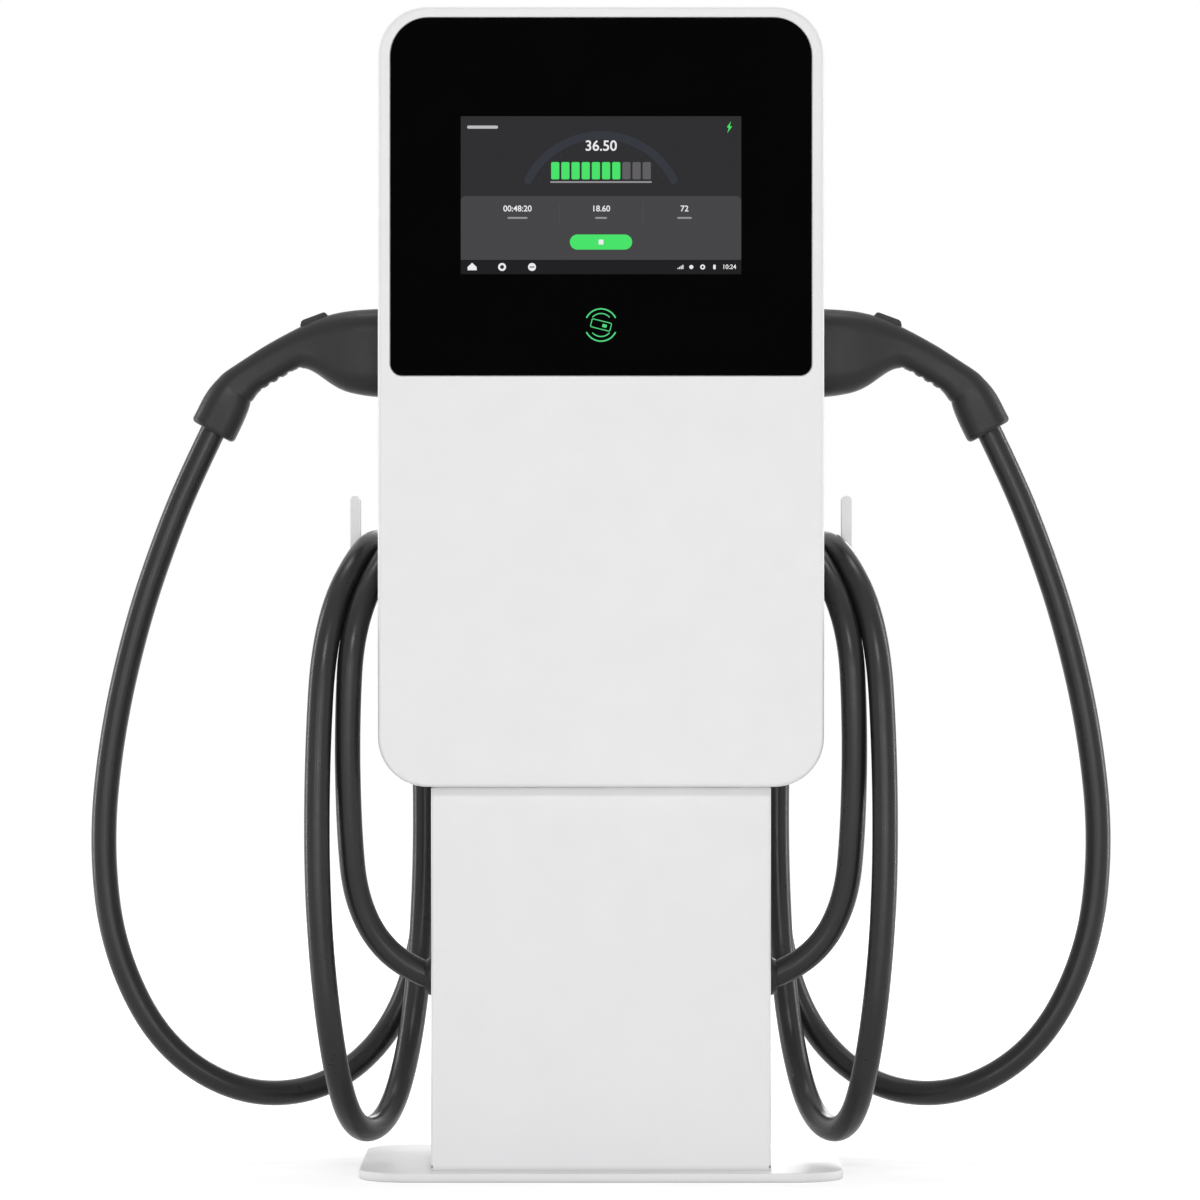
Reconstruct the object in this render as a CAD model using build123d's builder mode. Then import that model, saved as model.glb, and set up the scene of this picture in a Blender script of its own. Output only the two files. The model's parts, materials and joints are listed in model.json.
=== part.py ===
"""EV charging post: a free-standing direct-current charger with a cabled connector on each side.

Frame: +Z up, the front faces -Y, origin at the middle of the base plate's underside.
Left pieces lie towards -X, and each right piece is the left one's mirror image.
"""

import os
from math import cos, pi, radians, sin, tan

from build123d import *

os.makedirs("parts", exist_ok=True)

# ---------------------------------------------------------------- driving dimensions, mm
SEAT_GAP = 0.2  # gap of a piece slid into its seat

plate_width = 537
plate_depth = 350
plate_thickness = 10
plate_corner = 55
plate_edge = 1.5
anchor_pitch_x = 240
anchor_pitch_y = 110
anchor_hole_r = 8
conduit_r = 45

column_width = 376
column_depth = 220
column_front = -140
column_sheet = 2
column_bend = 3
column_top_gap = 2  # shadow gap under the head
column_flange = 18

foot_angle = 34
foot_angle_thickness = 4
foot_bolt_r = 4

head_width = 492
head_height = 860
head_bottom = 435
head_corner = 55
cover_front = -165
cover_depth = 44
cover_wall = 3
cover_edge = 4
window_edge = 1.6  # rounding round the glass

glass_width = 464
glass_height = 394
glass_top_corner = 42
glass_bottom_corner = 13
glass_thickness = 4
glass_sink = 0.5  # the glass lies this far behind the cover's face
glass_rim = 12.5  # white rim above the glass
glass_gap = 0.6
ledge_width = 18
gasket_width = 8
gasket_thickness = 1

screen_width = 309
screen_height = 174
display_border = 9
display_thickness = 10
reader_height = 62
reader_margin = 24  # from the glass's lower edge up to the reader's board
reader_gap = 15  # from the reader's board up to the display
boss_below = 90.5  # from the display's middle down to the screws that flank its bracket
boss_above = 139.5

body_width = 396
body_depth = 216
body_wall = 2.5
body_corner = 22
body_top_inset = 12  # the body's top lies this far under the cover's top
body_gap = 0.3  # between the cover's rim and the body's front

panel_margin = 12  # the rear panel stays this far inside the body's edge
panel_sheet = 2
panel_lip = 16

grille_width = 290
grille_height = 150
grille_depth = 9
grille_border = 11
louvre_pitch = 11
louvre_thickness = 1.6
louvre_tilt = 35

fan_size = 120
fan_depth = 38
fan_wall = 3  # the frame's thinnest wall round its duct
fan_spacing = 12  # gap between the two frames
fan_screw_inset = 7.5
blade_play = 3.5  # between the blades' tips and the duct
fan_screw_r = 2.1
fan_screw_head = 1.4
fan_hub_r = 20
fan_blades = 7
shaft_r = 2.5
shaft_play = 0.05

holster_z = 920
holster_y = 0
holster_reach = 26  # how far the mouth stands out from the body's wall
holster_inner = 44
holster_play = 0.8
connector_stand = 30  # the mouth of the connector's shell stands this far out from the body's side
nose_reach = 30  # and the tip of its nose this far in

hook_z = 688  # top of the arm's crown
hook_reach = 73.5  # from the body's side to the upright: room for two cables side by side
hook_upright = 11
hook_upright_top = 758.5
hook_width = 30
hook_crown = 50
hook_arm = 6

cable_diameter = 28.5
cable_r = cable_diameter / 2
collar_play = 1  # dark ring round the cable where it enters its connector

# Route of the left cable, from its gland to its connector: up in front, over the hook,
# down behind the head, up again as a hanging loop, over the hook, and round to the connector.
CABLE_ROUTE = [
    (-94, -108, 214),
    (-124, -108, 214),
    (-184, -109, 218),
    (-241, -114, 250),
    (-272, -124, 308),
    (-279, -135, 388),
    (-281, -144, 500),
    (-275, -147, 618),
    (-234, -62, 704),
    (-213, 50, 704),
    (-215, 128, 618),
    (-202, 130, 470),
    (-203, 129, 290),
    (-217, 125, 138),
    (-241, 48, 46),
    (-277, -64, 44),
    (-297, -144, 134),
    (-313, -154, 290),
    (-314, -155, 455),
    (-305, -150, 616),
    (-264, -60, 706),
    (-240, 75, 706),
    (-224, 168, 618),
    (-200, 174, 450),
    (-199, 175, 285),
    (-230, 153, 157),
    (-304, 95, 84),
    (-402, 45, 75),
    (-496, 24, 132),
    (-552, 16, 242),
    (-566, 12, 365),
    (-553, 8, 492),
    (-525, 4, 614),
    (-491, 2, 714),
    (-461, 0, 786),
    (-427.9, 0, 853.3),
]

latch_width = 12
latch_slot = 14
pin_r = 2
pin_play = 0.05
shell_wall = 3

# ---------------------------------------------------------------- derived places
column_back = column_front + column_depth
column_middle = (column_front + column_back) / 2
column_half = column_width / 2
column_bottom = plate_thickness
column_top = head_bottom - column_top_gap
column_height = column_top - column_bottom

head_top = head_bottom + head_height
head_middle = (head_bottom + head_top) / 2
cover_back = cover_front + cover_depth

glass_top = head_top - glass_rim
glass_middle = glass_top - glass_height / 2
display_high = screen_height / 2 + display_border
reader_z = glass_top - glass_height + reader_margin + reader_height / 2
display_z = reader_z + reader_height / 2 + reader_gap + display_high
glass_front = cover_front + glass_sink
glass_back = glass_front + glass_thickness
gasket_back = glass_back + gasket_thickness
ledge_back = gasket_back + cover_wall

body_front = cover_back + body_gap
body_back = body_front + body_depth
body_half = body_width / 2
body_top = head_top - body_top_inset
body_height = body_top - head_bottom
body_middle = (head_bottom + body_top) / 2
inner_half = body_half - body_wall
fan_bore_r = fan_size / 2 - fan_wall
fan_pitch = fan_size + fan_spacing
fan_screw_pitch = fan_size - 2 * fan_screw_inset
hook_inner_face = body_half + hook_reach
flange_thickness = body_wall
flange_front = body_front - flange_thickness


# ---------------------------------------------------------------- helpers
def save(piece, name):
    """Label a finished piece and write it to its own STEP file."""
    piece.part.label = name
    export_step(piece.part, f"parts/{name}.step")


def mirrored(piece):
    """The right-hand copy of a left-hand piece."""
    with BuildPart() as other:
        mirror(piece.part, about=Plane.YZ)
    return other


def save_pair(piece, pattern):
    """Write a left-hand piece and its mirror image; the pattern has {} for the side."""
    save(piece, pattern.format("left"))
    save(mirrored(piece), pattern.format("right"))


def facing(y):
    """An upright plane seen from the front: local x is X, local y is Z; extrude(-d) goes back."""
    return Plane(origin=(0, y, 0), x_dir=(1, 0, 0), z_dir=(0, -1, 0))


def sideways(x):
    """An upright plane across X: local x is Y, local y is Z; extrude(d) goes towards +X."""
    return Plane(origin=(x, 0, 0), x_dir=(0, 1, 0), z_dir=(1, 0, 0))


def along_y(x, y, z):
    """A plane whose normal is +Y, for things turned about a front-to-back axis."""
    return Plane(origin=(x, y, z), x_dir=(1, 0, 0), z_dir=(0, 1, 0))


def block(x, y, z, mode=Mode.ADD):
    """A box from its low and high limits on each axis."""
    middle = [(low + high) / 2 for low, high in (x, y, z)]
    with Locations(tuple(middle)):
        Box(x[1] - x[0], y[1] - y[0], z[1] - z[0], mode=mode)


def rod(start, direction, radius, length, mode=Mode.ADD):
    """A cylinder that begins at start and runs along direction."""
    with Locations(Plane(origin=start, z_dir=direction)):
        Cylinder(radius, length, align=(Align.CENTER, Align.CENTER, Align.MIN), mode=mode)


def screw(start, direction, head_r, head_height, shank_r, shank_length, socket_r=1.6):
    """A socket screw: start is under its head, direction points from the head into the work."""
    back = -Vector(*direction)
    rod(start, direction, shank_r, shank_length)
    rod(start, back, head_r, head_height)
    top = Vector(*start) + back * head_height
    rod(top, direction, socket_r, head_height * 0.6, mode=Mode.SUBTRACT)


def glass_outline(grow, mode=Mode.ADD):
    """The glass panel's outline on an upright plane: large radii above, small ones below."""
    wide = glass_width + 2 * grow
    high = glass_height + 2 * grow
    with Locations((0, glass_middle)):
        RectangleRounded(wide, high, glass_top_corner + grow, mode=mode)
    with Locations((0, glass_middle - high / 4)):
        RectangleRounded(wide, high / 2, max(glass_bottom_corner + grow, 1), mode=mode)


# ================================================================ base and column
foot_outer_x = column_width - 2 * (column_sheet + SEAT_GAP)
foot_outer_y = column_depth - 2 * (column_sheet + SEAT_GAP)
foot_bolt_x = foot_outer_x - foot_angle
foot_bolt_y = foot_outer_y - foot_angle

with BuildPart() as base_plate:
    with BuildSketch():
        RectangleRounded(plate_width, plate_depth, plate_corner)
        with Locations((0, column_middle)):
            Circle(conduit_r, mode=Mode.SUBTRACT)
            with GridLocations(anchor_pitch_x, anchor_pitch_y, 2, 2):
                Circle(anchor_hole_r, mode=Mode.SUBTRACT)
            with GridLocations(foot_bolt_x, foot_bolt_y, 2, 2):
                Circle(foot_bolt_r, mode=Mode.SUBTRACT)
    extrude(amount=plate_thickness)
    fillet(base_plate.faces().sort_by(Axis.Z)[-1].outer_wire().edges(), plate_edge)
    chamfer(base_plate.faces().sort_by(Axis.Z)[0].outer_wire().edges(), plate_edge / 2)
save(base_plate, "base_plate")

with BuildPart() as foot_frame:
    with BuildSketch(Plane.XY.offset(plate_thickness)):
        with Locations((0, column_middle)):
            Rectangle(foot_outer_x, foot_outer_y)
            Rectangle(foot_outer_x - 2 * foot_angle, foot_outer_y - 2 * foot_angle, mode=Mode.SUBTRACT)
            with GridLocations(foot_bolt_x, foot_bolt_y, 2, 2):
                Circle(foot_bolt_r, mode=Mode.SUBTRACT)
    extrude(amount=foot_angle_thickness)
    with BuildSketch(Plane.XY.offset(plate_thickness)):
        with Locations((0, column_middle)):
            Rectangle(foot_outer_x, foot_outer_y)
            web = 2 * foot_angle_thickness
            Rectangle(foot_outer_x - web, foot_outer_y - web, mode=Mode.SUBTRACT)
    extrude(amount=foot_angle)
save(foot_frame, "foot_frame")

with BuildPart() as foot_bolts:
    washer_top = plate_thickness + foot_angle_thickness
    for x in (-foot_bolt_x / 2, foot_bolt_x / 2):
        for y in (column_middle - foot_bolt_y / 2, column_middle + foot_bolt_y / 2):
            shank = washer_top - plate_edge
            screw((x, y, washer_top), (0, 0, -1), 6.5, 8, foot_bolt_r, shank, socket_r=3)
save(foot_bolts, "foot_bolts")

# the cable's outlet in the column's side, and the gland that grips it inside
outlet_y = -110
outlet_z = 223
grommet_play = 1.4
grommet_wall = 2.35
grommet_lip = 3
outlet_r = cable_r + grommet_play + grommet_wall
grommet_r = outlet_r + grommet_lip
outlet_climb = 0.35  # the cable already climbs where it crosses the wall
outlet_drift = -0.05
gland_x, gland_y, gland_z = CABLE_ROUTE[0]
gland_x = -gland_x
bracket_x = 66
bracket_sheet = 4
gland_mouth_r = cable_r + 2.75
gland_body_r = cable_r + 7.75
gland_thread_r = cable_r + 1.75
gland_hexagon_r = gland_body_r + 3.5
back_screw_z = (60, 220, 395)
back_screw_x = column_half - column_flange / 2 - column_sheet / 2

with BuildPart() as column_shell:
    with BuildSketch(Plane.XY.offset(column_bottom)):
        with Locations((0, column_middle)):
            RectangleRounded(column_width, column_depth, column_bend)
            inner = 2 * column_sheet
            Rectangle(column_width - inner, column_depth - inner, mode=Mode.SUBTRACT)
        with Locations((0, column_back)):
            opening = column_width - 2 * column_flange
            Rectangle(opening, 4 * column_sheet, mode=Mode.SUBTRACT)
    extrude(amount=column_height)
    for side in (-1, 1):
        rod((side * (column_half + 1), outlet_y, outlet_z), (-side, 0, 0), outlet_r, 8, mode=Mode.SUBTRACT)
        # bend relief at the foot of each front corner
        corner = (side * column_half, column_front, column_bottom + 4)
        rod(corner, (-side, 1, 0), 1.6, 9, mode=Mode.SUBTRACT)
        for z in back_screw_z:
            rod((side * back_screw_x, column_back + 1, z), (0, -1, 0), 2.5, 6, mode=Mode.SUBTRACT)
save(column_shell, "column_shell")

cover_back_face = column_back + column_sheet
with BuildPart() as column_back_cover:
    with BuildSketch(facing(column_back)):
        with Locations((0, (column_bottom + column_top) / 2)):
            RectangleRounded(column_width - 4, column_height - 4, 6)
        for side in (-1, 1):
            with Locations(*[(side * back_screw_x, z) for z in back_screw_z]):
                Circle(2.5, mode=Mode.SUBTRACT)
    extrude(amount=-column_sheet)
save(column_back_cover, "column_back_cover")

with BuildPart() as column_back_screws:
    for side in (-1, 1):
        for z in back_screw_z:
            screw((side * back_screw_x, cover_back_face, z), (0, -1, 0), 4.8, 2.8, 2.5, 12, socket_r=1.8)
save(column_back_screws, "column_back_screws")

tray_half = column_half - column_sheet - SEAT_GAP
tray_front = body_front + 1
tray_back = column_back - column_sheet - SEAT_GAP
head_bolt_x = 150
head_bolt_y = (-85, 45)
with BuildPart() as column_top_tray:
    block((-tray_half, tray_half), (tray_front, tray_back), (head_bottom - 4, head_bottom))
    for side in (-1, 1):
        flange = sorted((side * tray_half, side * (tray_half - 4)))
        block(flange, (tray_front, tray_back), (head_bottom - 34, head_bottom - 4))
    with BuildSketch(Plane.XY.offset(head_bottom)):
        with Locations((0, column_middle + 10)):
            RectangleRounded(180, 90, 12)
    extrude(amount=-4, mode=Mode.SUBTRACT)
    for x in (-head_bolt_x, head_bolt_x):
        for y in head_bolt_y:
            rod((x, y, head_bottom + 1), (0, 0, -1), 5, 8, mode=Mode.SUBTRACT)
save(column_top_tray, "column_top_tray")

with BuildPart() as head_bolts:
    for x in (-head_bolt_x, head_bolt_x):
        for y in head_bolt_y:
            screw((x, y, head_bottom - 4), (0, 0, 1), 8.5, 6, 5, 20, socket_r=4)
            rod((x, y, head_bottom + body_wall), (0, 0, 1), 8.5, 8)
save(head_bolts, "head_bolts")

with BuildPart() as gland_bracket:
    front = column_front + column_sheet
    block((-bracket_x, bracket_x), (front, front + bracket_sheet), (gland_z - 40, gland_z + 40))
    for side in (-1, 1):
        ear = sorted((side * bracket_x, side * (bracket_x - bracket_sheet)))
        block(ear, (front, gland_y + 36), (gland_z - 40, gland_z + 40))
        rod((side * (bracket_x + 1), gland_y, gland_z), (-side, 0, 0), gland_thread_r, 8, mode=Mode.SUBTRACT)
save(gland_bracket, "gland_bracket")

with BuildPart() as cable_glands:
    gland_mouth = Vector(-gland_x, gland_y, gland_z)
    with BuildSketch(Plane(origin=gland_mouth, x_dir=(1, 0, 0), z_dir=(0, -1, 0))):
        body_length = gland_x - bracket_x
        thread_r = gland_thread_r - SEAT_GAP
        with BuildLine():
            Polyline(
                (0, 0),
                (0, gland_mouth_r),
                (10, gland_body_r),
                (body_length, gland_body_r),
                (body_length, thread_r),
                (body_length + 14, thread_r),
                (body_length + 14, 0),
                close=True,
            )
        make_face()
    revolve(axis=Axis(gland_mouth, (1, 0, 0)))
    # the hexagon that a spanner turns
    with BuildSketch(Plane(origin=gland_mouth + (12, 0, 0), x_dir=(0, 0, 1), z_dir=(1, 0, 0))):
        RegularPolygon(gland_hexagon_r, 6)
    extrude(amount=body_length - 12)
    mirror(about=Plane.YZ)
save(cable_glands, "cable_glands")

with BuildPart() as gland_nuts:
    for side in (-1, 1):
        nut_start = side * (bracket_x - bracket_sheet)
        nut_plane = Plane(origin=(nut_start, gland_y, gland_z), x_dir=(0, 0, 1), z_dir=(-side, 0, 0))
        with BuildSketch(nut_plane):
            RegularPolygon(gland_hexagon_r - 1.5, 6)
            Circle(gland_thread_r, mode=Mode.SUBTRACT)
        extrude(amount=7)
save(gland_nuts, "gland_nuts")

with BuildPart() as cable_grommets:
    for side in (-1, 1):
        outlet = Vector(side * column_half, outlet_y, outlet_z)
        outward = Vector(side, outlet_drift, outlet_climb)
        rod(outlet, (side, 0, 0), grommet_r, 2)
        with Locations(Plane(origin=outlet + (2 * side, 0, 0), z_dir=(side, 0, 0))):
            Cone(grommet_r, outlet_r, 5, align=(Align.CENTER, Align.CENTER, Align.MIN))
        rod(outlet, (-side, 0, 0), outlet_r - 0.1, column_sheet + 5)
        rod(outlet - outward * 16, outward, cable_r + grommet_play, 40, mode=Mode.SUBTRACT)
save(cable_grommets, "cable_grommets")

# ================================================================ head: cover, glass and screen
boss_x = body_half + 21
boss_z = (head_bottom + 70, head_bottom + 300, display_z - boss_below, display_z + boss_above)
boss_r = 6

with BuildPart() as front_cover:
    with BuildSketch(facing(cover_front)):
        with Locations((0, head_middle)):
            RectangleRounded(head_width, head_height, head_corner)
    extrude(amount=-cover_depth)
    fillet(front_cover.faces().sort_by(Axis.Y)[0].outer_wire().edges(), cover_edge)
    with BuildSketch(facing(cover_front + cover_wall)):
        with Locations((0, head_middle)):
            inner_w = head_width - 2 * cover_wall
            inner_h = head_height - 2 * cover_wall
            RectangleRounded(inner_w, inner_h, head_corner - cover_wall)
    extrude(amount=-cover_depth, mode=Mode.SUBTRACT)
    # the pocket that the glass sits in, with a ledge behind it
    with BuildSketch(facing(cover_front + cover_wall)):
        glass_outline(glass_gap + cover_wall)
    extrude(amount=-(ledge_back - cover_front - cover_wall))
    with BuildSketch(facing(cover_front)):
        glass_outline(glass_gap)
    extrude(amount=-(gasket_back - cover_front), mode=Mode.SUBTRACT)
    fillet(front_cover.faces().sort_by(Axis.Y)[0].inner_wires()[0].edges(), window_edge)
    with BuildSketch(facing(cover_front)):
        glass_outline(-ledge_width)
    extrude(amount=-cover_depth / 2, mode=Mode.SUBTRACT)
    # screw bosses down both sides
    for side in (-1, 1):
        for z in boss_z:
            behind_glass = z > glass_top - glass_height
            root = ledge_back - 1 if behind_glass else cover_front + cover_wall / 2
            rod((side * boss_x, root, z), (0, 1, 0), boss_r, flange_front - root)
            rod((side * boss_x, flange_front, z), (0, -1, 0), 1.6, 14, mode=Mode.SUBTRACT)
save(front_cover, "front_cover")

with BuildPart() as glass_panel:
    with BuildSketch(facing(glass_front)):
        glass_outline(0)
    extrude(amount=-glass_thickness)
    chamfer(glass_panel.faces().sort_by(Axis.Y)[0].outer_wire().edges(), 0.6)
save(glass_panel, "glass_panel")

with BuildPart() as glass_gasket:
    with BuildSketch(facing(glass_back)):
        glass_outline(-1)
        glass_outline(-1 - gasket_width, mode=Mode.SUBTRACT)
    extrude(amount=-gasket_thickness)
save(glass_gasket, "glass_gasket")

display_half = screen_width / 2 + display_border
display_back = glass_back + display_thickness
with BuildPart() as display_module:
    x_limits = (-display_half, display_half)
    z_limits = (display_z - display_high, display_z + display_high)
    block(x_limits, (glass_back, display_back), z_limits)
    # driver board on the back
    block((-70, 50), (display_back, display_back + 3), (display_z - 50, display_z + 40))
    fillet(display_module.edges().filter_by(Axis.Y).group_by(SortBy.DISTANCE)[-1], 3)
save(display_module, "display_module")

bracket_half = glass_width / 2 - ledge_width + 8
bracket_front = display_back
with BuildPart() as display_bracket:
    with BuildSketch(facing(bracket_front)):
        with Locations((0, display_z)):
            RectangleRounded(2 * bracket_half, 2 * display_high - 30, 6)
            RectangleRounded(2 * display_half - 60, 2 * display_high - 70, 6, mode=Mode.SUBTRACT)
    extrude(amount=-2)
    for side in (-1, 1):
        leg = sorted((side * bracket_half, side * (bracket_half - 7)))
        for z in (display_z - 70, display_z + 70):
            block(leg, (ledge_back, bracket_front + 1), (z - 12, z + 12))
save(display_bracket, "display_bracket")

with BuildPart() as rfid_reader:
    with BuildSketch(facing(glass_back)):
        with Locations((0, reader_z)):
            RectangleRounded(84, reader_height, 5)
    extrude(amount=-1.6)
    block((-26, 26), (glass_back + 1.6, glass_back + 5), (reader_z - 18, reader_z + 18))
    rod((34, glass_back + 1.6, reader_z - 20), (0, 1, 0), 4, 6)
save(rfid_reader, "rfid_reader")

# ================================================================ head: rear body
window_half = body_half - panel_lip - body_corner / 2
window_low = head_bottom + panel_lip + body_corner / 2
window_high = body_top - panel_lip - body_corner / 2
holster_window_y = 80
holster_window_z = 110
holster_screw_y = holster_window_y / 2 + 9
holster_screw_z = holster_window_z / 2 - 12
holster_screws_at = [
    (y, holster_z + z)
    for y in (-holster_screw_y, holster_screw_y)
    for z in (-holster_screw_z, holster_screw_z)
]
hook_plate = 4
hook_plate_y = 76
hook_plate_z = 84
hook_plate_middle = hook_z - 14
hook_screw_y = hook_plate_y / 2 - 10
hook_screw_z = hook_plate_z / 2 - 10
hook_screw_sink = 2.4  # their heads sit in the plate, out of the cables' way
panel_screw_x = body_half - panel_margin - 8
panel_screw_z = (head_bottom + 40, head_bottom + 290, body_top - 290, body_top - 40)

with BuildPart() as rear_body:
    with BuildSketch(facing(body_front)):
        with Locations((0, body_middle)):
            RectangleRounded(body_width, body_height, body_corner)
    extrude(amount=-body_depth)
    fillet(rear_body.faces().sort_by(Axis.Y)[-1].outer_wire().edges(), 5)
    # the flange that the front cover screws to
    with BuildSketch(facing(flange_front)):
        with Locations((0, head_middle)):
            wide = head_width - 2 * (cover_wall + 1)
            high = head_height - 2 * (cover_wall + 1)
            RectangleRounded(wide, high, head_corner - cover_wall - 1)
    extrude(amount=-flange_thickness)
    with BuildSketch(facing(flange_front)):
        with Locations((0, body_middle)):
            inner_w = body_width - 2 * body_wall
            inner_h = body_height - 2 * body_wall
            RectangleRounded(inner_w, inner_h, body_corner - body_wall)
    extrude(amount=-(flange_thickness + body_depth - body_wall), mode=Mode.SUBTRACT)
    with BuildSketch(facing(body_back)):
        with Locations((0, (window_low + window_high) / 2)):
            RectangleRounded(2 * window_half, window_high - window_low, 12)
    extrude(amount=2 * body_wall, both=True, mode=Mode.SUBTRACT)
    for side in (-1, 1):
        with BuildSketch(sideways(side * body_half)):
            with Locations((holster_y, holster_z)):
                RectangleRounded(holster_window_y, holster_window_z, 14)
        extrude(amount=2 * body_wall, both=True, mode=Mode.SUBTRACT)
        for y in (-hook_screw_y, hook_screw_y):
            for z in (-hook_screw_z, hook_screw_z):
                start = (side * (body_half + 1), y, hook_plate_middle + z)
                rod(start, (-side, 0, 0), 3, 6, mode=Mode.SUBTRACT)
        for y, z in holster_screws_at:
            rod((side * (body_half + 1), y, z), (-side, 0, 0), 2.2, 6, mode=Mode.SUBTRACT)
        for z in boss_z:
            rod((side * boss_x, body_front + 1, z), (0, -1, 0), 1.6, 6, mode=Mode.SUBTRACT)
        for z in panel_screw_z:
            rod((side * panel_screw_x, body_back + 1, z), (0, -1, 0), 2, 6, mode=Mode.SUBTRACT)
    with BuildSketch(Plane.XY.offset(head_bottom)):
        with Locations((0, column_middle + 10)):
            RectangleRounded(180, 90, 12)
        with Locations(*[(x, y) for x in (-head_bolt_x, head_bolt_x) for y in head_bolt_y]):
            Circle(5)
    extrude(amount=2 * body_wall, both=True, mode=Mode.SUBTRACT)
save(rear_body, "rear_body")

panel_back = body_back + panel_sheet
fan_z = body_top - 105
intake_z = head_bottom + 120
fan_hole_x = [side * fan_pitch / 2 + corner * fan_screw_pitch / 2 for side in (-1, 1) for corner in (-1, 1)]
fan_holes = [(x, fan_z + corner * fan_screw_pitch / 2) for x in fan_hole_x for corner in (-1, 1)]
grille_holes = [
    (side * (grille_width / 2 - 5.5), z + lift * (grille_height / 2 - 5.5))
    for side in (-1, 1)
    for z in (fan_z, intake_z)
    for lift in (-1, 1)
]
with BuildPart() as rear_panel:
    with BuildSketch(facing(body_back)):
        with Locations((0, body_middle)):
            wide = body_width - 2 * panel_margin
            high = body_height - 2 * panel_margin
            RectangleRounded(wide, high, body_corner - 6)
        with Locations((0, intake_z)):
            Rectangle(grille_width - 2 * grille_border, grille_height - 2 * grille_border, mode=Mode.SUBTRACT)
        with Locations((-fan_pitch / 2, fan_z), (fan_pitch / 2, fan_z)):
            Circle(fan_bore_r, mode=Mode.SUBTRACT)
        with Locations(*fan_holes):
            Circle(fan_screw_r + 0.1, mode=Mode.SUBTRACT)
        with Locations(*grille_holes):
            Circle(1.6, mode=Mode.SUBTRACT)
        with Locations(*[(s * panel_screw_x, z) for s in (-1, 1) for z in panel_screw_z]):
            Circle(2, mode=Mode.SUBTRACT)
    extrude(amount=-panel_sheet)
    # the fans' screws lie flush, clear of the louvres
    with BuildSketch(facing(panel_back)):
        with Locations(*fan_holes):
            Circle(4)
    extrude(amount=fan_screw_head, mode=Mode.SUBTRACT)
save(rear_panel, "rear_panel")


def louvre_grille(middle_z):
    """A screwed-on frame whose sloping blades shed rain and let air through."""
    with BuildPart() as grille:
        with BuildSketch(facing(panel_back)):
            with Locations((0, middle_z)):
                RectangleRounded(grille_width, grille_height, 8)
                opening_w = grille_width - 2 * grille_border
                opening_h = grille_height - 2 * grille_border
                RectangleRounded(opening_w, opening_h, 3, mode=Mode.SUBTRACT)
            with Locations(*[hole for hole in grille_holes if abs(hole[1] - middle_z) < grille_height]):
                Circle(1.6, mode=Mode.SUBTRACT)
        extrude(amount=-grille_depth)
        blades = int((grille_height - 2 * grille_border) / louvre_pitch)
        middle_y = panel_back + grille_depth / 2
        with BuildSketch(sideways(-grille_width / 2 + grille_border - 1)):
            with Locations((middle_y, middle_z)):
                with GridLocations(1, louvre_pitch, 1, blades):
                    Rectangle(grille_depth, louvre_thickness, rotation=-louvre_tilt)
        extrude(amount=grille_width - 2 * grille_border + 2)
    return grille


save(louvre_grille(fan_z), "exhaust_grille")
save(louvre_grille(intake_z), "intake_grille")

with BuildPart() as air_filter:
    high = grille_height - 2 * grille_border
    filter_x = (-grille_width / 2 + 15, grille_width / 2 - 15)
    block(filter_x, (body_back - 14, body_back), (intake_z - high / 2, intake_z + high / 2))
save(air_filter, "air_filter")

# ================================================================ fans
fan_back = body_back
fan_front = fan_back - fan_depth
motor_depth = 14
rotor_gap = 1


with BuildPart() as fan_frames:
    # each a square frame: round duct, motor cup on four struts, corner holes
    for x in (-fan_pitch / 2, fan_pitch / 2):
        with BuildSketch(facing(fan_front)):
            with Locations((x, fan_z)):
                RectangleRounded(fan_size, fan_size, 7)
                Circle(fan_bore_r, mode=Mode.SUBTRACT)
                with GridLocations(fan_screw_pitch, fan_screw_pitch, 2, 2):
                    Circle(fan_screw_r + 0.1, mode=Mode.SUBTRACT)
        extrude(amount=-fan_depth)
        with BuildSketch(facing(fan_front)):
            with Locations((x, fan_z)):
                Circle(fan_hub_r + 1)
                with PolarLocations(fan_bore_r / 2 + fan_hub_r / 2, 4, start_angle=45):
                    Rectangle(fan_bore_r - fan_hub_r + 4, 6)
        extrude(amount=-4)
        rod((x, fan_front, fan_z), (0, 1, 0), fan_hub_r + 1, motor_depth)
        bore_start = (x, fan_front + motor_depth + 1, fan_z)
        rod(bore_start, (0, -1, 0), shaft_r + shaft_play, motor_depth - 1, mode=Mode.SUBTRACT)
save(fan_frames, "fan_frames")

with BuildPart() as fan_blade:
    # built on the Z axis, with the blade reaching out along X
    blade_middle = 12
    with BuildSketch(sideways(fan_hub_r - 1)):
        with Locations((0, blade_middle)):
            Rectangle(20, 1.8, rotation=38)
    with BuildSketch(sideways(fan_bore_r - 1.5 - blade_play)):
        with Locations((2, blade_middle)):
            Rectangle(27, 1.4, rotation=24)
    loft()


def fan_rotor(x):
    """A hub with twisted blades and a shaft that runs in the frame's motor cup."""
    hub_start = fan_front + motor_depth + rotor_gap
    hub_length = fan_depth - motor_depth - rotor_gap - 3
    with BuildPart() as rotor:
        rod((x, hub_start, fan_z), (0, 1, 0), fan_hub_r, hub_length)
        fillet(rotor.faces().sort_by(Axis.Y)[-1].edges(), 3)
        rod((x, hub_start, fan_z), (0, -1, 0), shaft_r, motor_depth - 2)
        with Locations(along_y(x, hub_start - 1, fan_z)):
            with PolarLocations(0, fan_blades):
                add(fan_blade.part)
    return rotor


save(fan_rotor(-fan_pitch / 2), "fan_rotor_left")
save(fan_rotor(fan_pitch / 2), "fan_rotor_right")

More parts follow.
